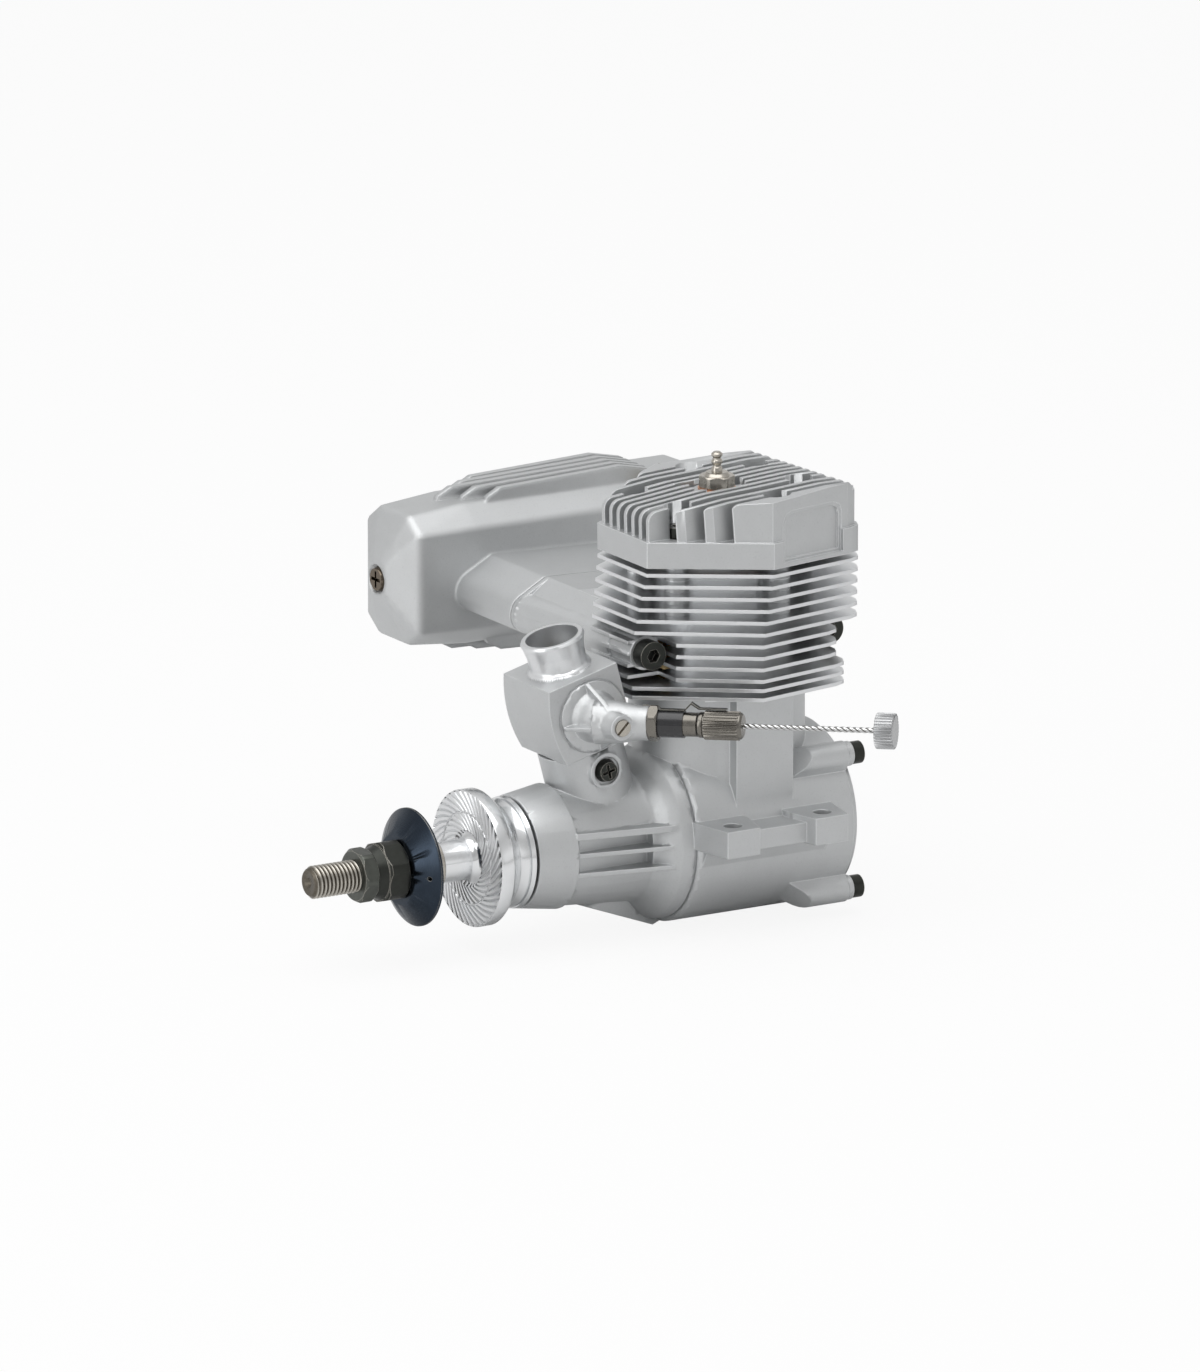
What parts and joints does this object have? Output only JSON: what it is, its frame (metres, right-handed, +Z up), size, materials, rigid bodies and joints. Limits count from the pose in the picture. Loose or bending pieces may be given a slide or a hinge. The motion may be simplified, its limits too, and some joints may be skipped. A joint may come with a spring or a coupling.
{
  "type": "model aircraft engine",
  "caption": "Two-stroke glow engine for a model aircraft: finned cylinder, ball-bearing shaft, carburettor with remote needle and side muffler.",
  "frame": {"origin": "middle of the four lug holes on the lugs' underside, where the shaft's centre line passes", "axes": "-Y towards the propeller, +Z up the cylinder, +X the needle side, exhaust on -X"},
  "size_m": [0.1635, 0.1782, 0.1139],
  "materials": {
    "cast_alloy": "bead-blasted die casting, satin silver grey",
    "machined_alloy": "turned and bright",
    "steel": "ground, lightly oiled",
    "black_steel": "black oxide, semi-gloss",
    "blued_steel": "blued, smooth",
    "nickel": "nickel plated",
    "brass": "bare brass, turned",
    "bronze": "bare bronze, turned",
    "copper": "soft copper sheet",
    "rubber": "black synthetic rubber",
    "black_plastic": "glossy black insulating sleeve",
    "gasket_paper": "oiled gasket paper"
  },
  "bodies": {
    "engine": {"crankcase": "cast_alloy", "cylinder_liner": "brass", "head_gasket": "copper", "cylinder_head": "cast_alloy", "head_screws": "black_steel", "glow_plug": "nickel", "plug_washer": "copper", "backplate": "cast_alloy", "backplate_gasket": "gasket_paper", "backplate_screws": "black_steel", "rear_outer_race": "steel", "front_outer_race": "steel", "carburettor_body": "cast_alloy", "carb_seal": "rubber", "carb_retainer_screw": "black_steel", "needle_holder": "nickel", "holder_nut": "nickel", "holder_sleeve": "black_plastic", "ratchet_spring": "black_steel", "fuel_nipple": "nickel", "exhaust_gasket": "gasket_paper", "muffler_bolts": "black_steel", "muffler_body": "cast_alloy", "muffler_baffle": "steel", "muffler_seal": "rubber", "muffler_rear": "cast_alloy", "muffler_screw": "nickel", "pressure_nipple": "nickel"},
    "crank": {"crankshaft": "steel", "rear_inner_race": "steel", "front_inner_race": "steel", "drive_hub": "machined_alloy", "hub_collet": "brass", "pilot_ring": "nickel", "prop_washer": "blued_steel", "prop_nut": "black_steel", "lock_nut": "black_steel"},
    "rear_balls": {"rear_ball_cage": "steel"},
    "front_balls": {"front_ball_cage": "steel"},
    "piston_group": {"piston": "machined_alloy", "wrist_pin": "steel", "pin_retainers": "black_plastic", "connecting_rod": "machined_alloy", "big_end_bush": "bronze", "crankpin": "steel"},
    "throttle": {"throttle_rotor": "brass", "throttle_lever": "steel", "lever_screw": "black_steel"},
    "throttle_stop": {"throttle_stop_screw": "steel"},
    "mixture": {"mixture_screw": "brass"},
    "needle": {"needle_thimble": "nickel", "needle_wire": "steel", "needle_knob": "machined_alloy", "knob_screw": "black_steel"}
  },
  "joints": [
    {"name": "crank_spin", "type": "hinge", "parent": "engine", "child": "crank", "pos_m": [0, 0, 0], "axis": [0, 1, 0], "continuous": true},
    {"name": "rear_balls_spin", "type": "hinge", "parent": "engine", "child": "rear_balls", "pos_m": [0, -0.0167, 0], "axis": [0, 1, 0], "continuous": true},
    {"name": "front_balls_spin", "type": "hinge", "parent": "engine", "child": "front_balls", "pos_m": [0, -0.0539, 0], "axis": [0, 1, 0], "continuous": true},
    {"name": "piston_travel", "type": "slide", "parent": "engine", "child": "piston_group", "axis": [0, 0, -1], "range_m": [0, 0.0235]},
    {"name": "throttle_turn", "type": "hinge", "parent": "engine", "child": "throttle", "pos_m": [0, -0.0409, 0.0337], "axis": [-1, 0, 0], "range_deg": [0, 75]},
    {"name": "stop_screw_turn", "type": "hinge", "parent": "engine", "child": "throttle_stop", "pos_m": [-0.0078, -0.03711, 0.04507], "axis": [0, -0.2588, 0.9659], "range_deg": [-360, 360]},
    {"name": "mixture_turn", "type": "hinge", "parent": "engine", "child": "mixture", "pos_m": [0.02, -0.0409, 0.0337], "axis": [1, 0, 0], "range_deg": [-180, 720]},
    {"name": "needle_turn", "type": "hinge", "parent": "engine", "child": "needle", "pos_m": [0.016, -0.0409, 0.0334], "axis": [0.6944, 0.7191, 0.0262], "range_deg": [-540, 1080]}
  ],
  "couplings": [
    {"joint": "rear_balls_spin", "follows": "crank_spin", "ratio": 0.4191},
    {"joint": "front_balls_spin", "follows": "crank_spin", "ratio": 0.3969}
  ]
}
